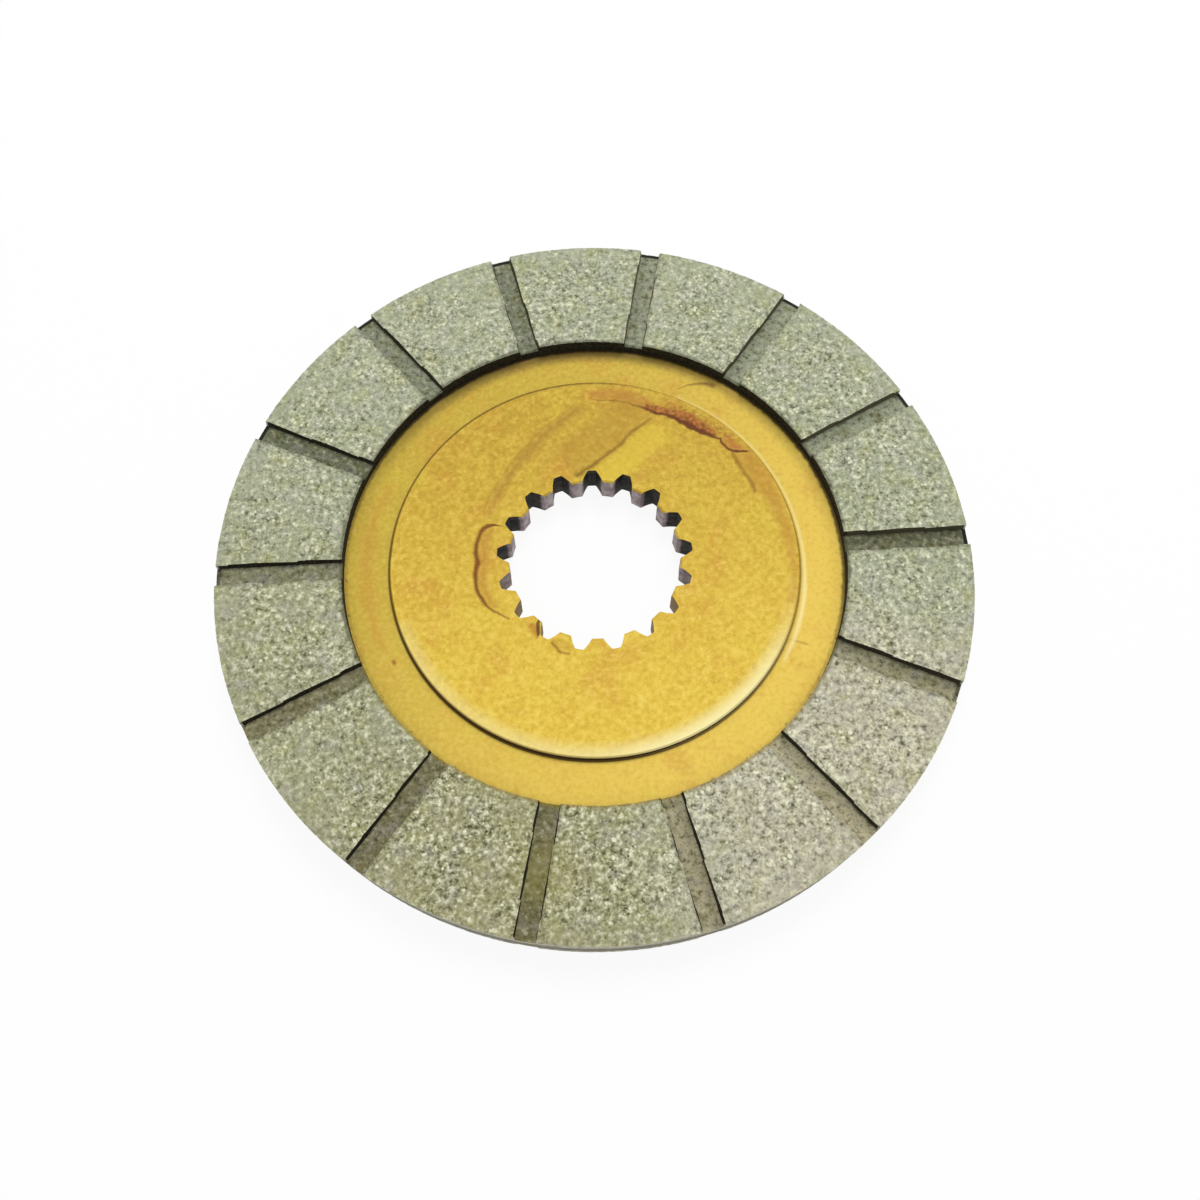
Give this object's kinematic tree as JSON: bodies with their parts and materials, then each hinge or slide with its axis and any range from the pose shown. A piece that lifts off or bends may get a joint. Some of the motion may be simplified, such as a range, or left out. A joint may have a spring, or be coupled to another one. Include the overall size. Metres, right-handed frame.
{
  "type": "brake disc",
  "caption": "Splined steel carrier disc with a raised central boss and a grooved friction ring bonded to each side.",
  "frame": {"origin": "centre of the splined bore, halfway through the disc's thickness", "axes": "+Z along the disc's axis, out of the upper friction face"},
  "size_m": [0.178, 0.178, 0.011],
  "materials": {
    "plated_steel": "satin yellow zinc plating",
    "friction_lining": "matt speckled moulded friction material"
  },
  "bodies": {
    "root": {"carrier_plate": "plated_steel", "upper_lining": "friction_lining", "lower_lining": "friction_lining"}
  },
  "joints": []
}
